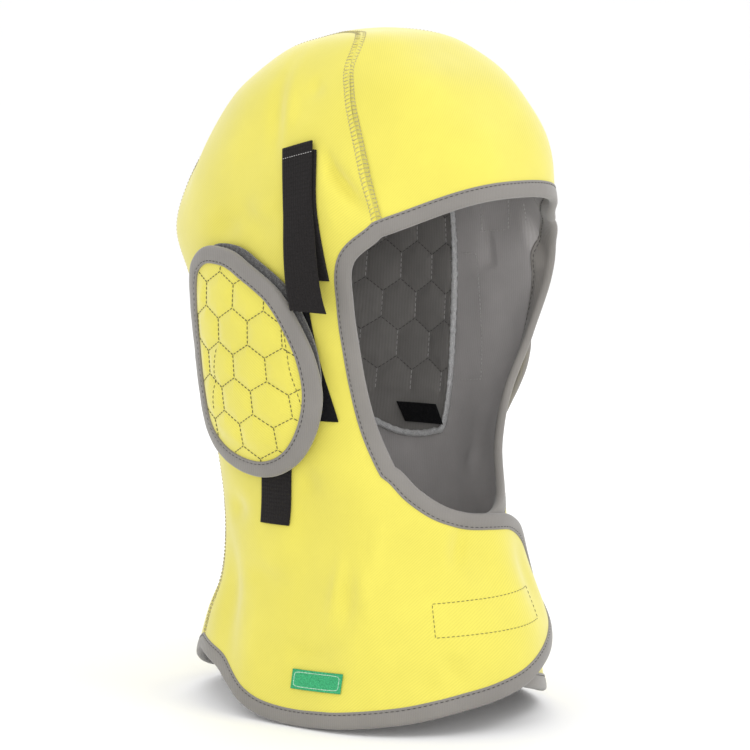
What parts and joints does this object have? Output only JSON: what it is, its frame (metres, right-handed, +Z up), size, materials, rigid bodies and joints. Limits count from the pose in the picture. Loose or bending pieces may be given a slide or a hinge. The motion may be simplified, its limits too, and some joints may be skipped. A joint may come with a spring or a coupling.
{
  "type": "hard hat liner",
  "caption": "Winter liner for a hard hat: a lined cloth hood with a face opening, ear flaps held by webbing straps, and a neck bib closed at the front by touch tape.",
  "frame": {"origin": "inside the crown, on the lining over the middle of the head, where the top of the head sits", "axes": "+Z up, -Y towards the wearer's front, +X to the wearer's left"},
  "size_m": [0.1913, 0.2349, 0.3731],
  "materials": {
    "shell": "woven",
    "lining": "brushed knit",
    "binding": "knit tape",
    "fleece": "quilted pile",
    "webbing": "webbing",
    "touch_tape": "hook and loop",
    "label": "woven label"
  },
  "bodies": {
    "root": {"crown_panel": "shell", "side_panel_right": "shell", "side_panel_left": "shell", "crown_lining": "lining", "side_lining_right": "lining", "side_lining_left": "lining", "edge_binding": "binding", "fastener_loop_tape": "touch_tape", "fastener_hook_tape": "touch_tape", "ear_flap_right": "shell", "ear_flap_left": "shell", "ear_flap_binding_right": "binding", "ear_flap_binding_left": "binding", "ear_fleece_right": "fleece", "ear_fleece_left": "fleece", "ear_pocket_right": "fleece", "ear_pocket_left": "fleece", "pocket_patch_right": "touch_tape", "pocket_patch_left": "touch_tape", "upper_strap_front_right": "webbing", "upper_strap_front_left": "webbing", "upper_strap_back_right": "webbing", "upper_strap_back_left": "webbing", "ear_hook_tape_right": "touch_tape", "ear_hook_tape_left": "touch_tape", "lower_strap_right": "webbing", "lower_strap_left": "webbing", "woven_label": "label"}
  },
  "joints": []
}
